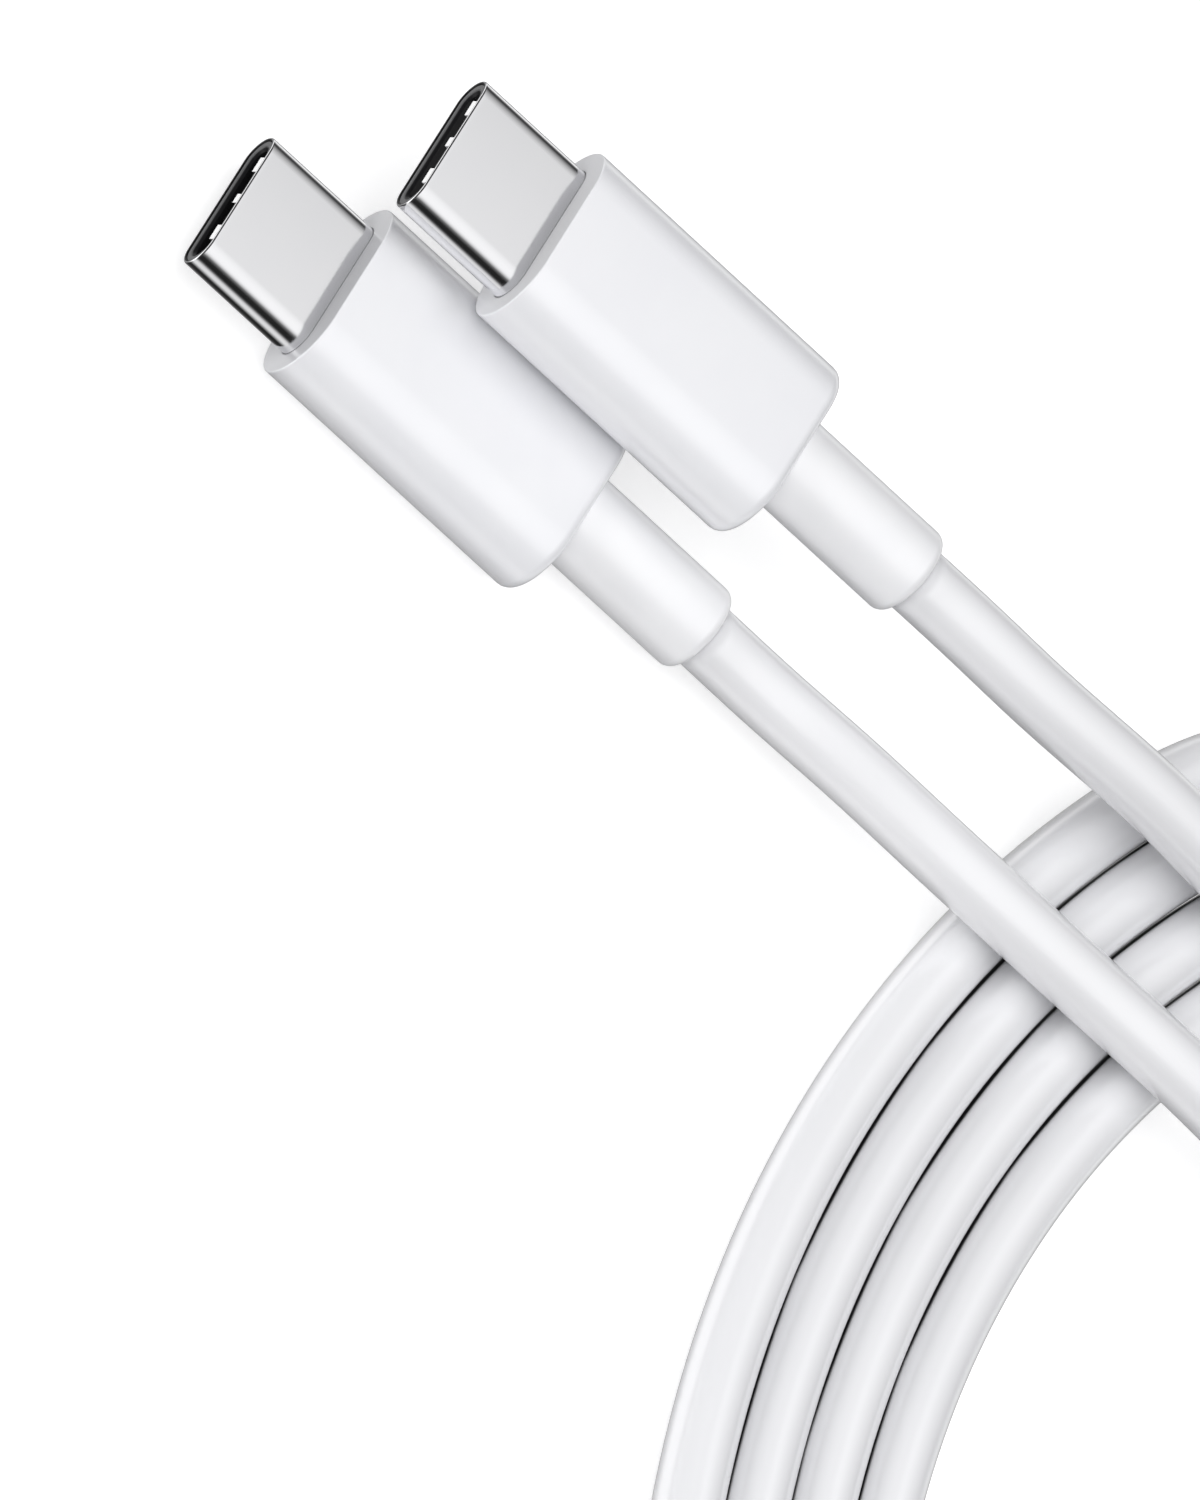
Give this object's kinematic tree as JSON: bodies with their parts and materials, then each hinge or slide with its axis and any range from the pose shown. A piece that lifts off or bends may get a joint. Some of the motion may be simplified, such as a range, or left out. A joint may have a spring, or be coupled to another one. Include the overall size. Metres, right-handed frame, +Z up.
{
  "type": "charging cable",
  "caption": "Charging cable: flat steel-shelled plugs in long white mouldings with round strain reliefs, on one white cord wound into a flat oval coil.",
  "frame": {"origin": "middle of the flat underside of the lower plug's moulding, on the surface the cable lies on", "axes": "+Y along the plugs from their mouths to the cord, +Z up out of their broad faces, +X across the width"},
  "size_m": [0.0807, 0.1044, 0.011],
  "materials": {
    "polished_steel": "polished, mirror-like",
    "spring_steel": "bright",
    "can_steel": "satin",
    "gold_plate": "bright plating",
    "dark_plastic": "fine matt",
    "circuit_board": "satin solder mask",
    "chip_black": "matt",
    "wire_cover": "satin",
    "inner_plastic": "matt",
    "white_moulding": "satin white",
    "white_rubber": "soft satin white",
    "white_jacket": "smooth glossy white"
  },
  "bodies": {
    "root": {"shell_a": "polished_steel", "housing_a": "dark_plastic", "contact_block_a": "dark_plastic", "upper_contacts_a": "gold_plate", "lower_contacts_a": "gold_plate", "latch_plate_a": "spring_steel", "ground_springs_a": "spring_steel", "paddle_board_a": "circuit_board", "board_chips_a": "chip_black", "wires_a": "wire_cover", "can_upper_a": "can_steel", "can_lower_a": "can_steel", "crimp_ring_a": "can_steel", "inner_mould_a": "inner_plastic", "overmould_a": "white_moulding", "boot_a": "white_rubber", "shell_b": "polished_steel", "housing_b": "dark_plastic", "contact_block_b": "dark_plastic", "upper_contacts_b": "gold_plate", "lower_contacts_b": "gold_plate", "latch_plate_b": "spring_steel", "ground_springs_b": "spring_steel", "paddle_board_b": "circuit_board", "board_chips_b": "chip_black", "wires_b": "wire_cover", "can_upper_b": "can_steel", "can_lower_b": "can_steel", "crimp_ring_b": "can_steel", "inner_mould_b": "inner_plastic", "overmould_b": "white_moulding", "boot_b": "white_rubber", "cord_a": "white_jacket", "cord_b": "white_jacket", "cord_coil": "white_jacket"}
  },
  "joints": []
}
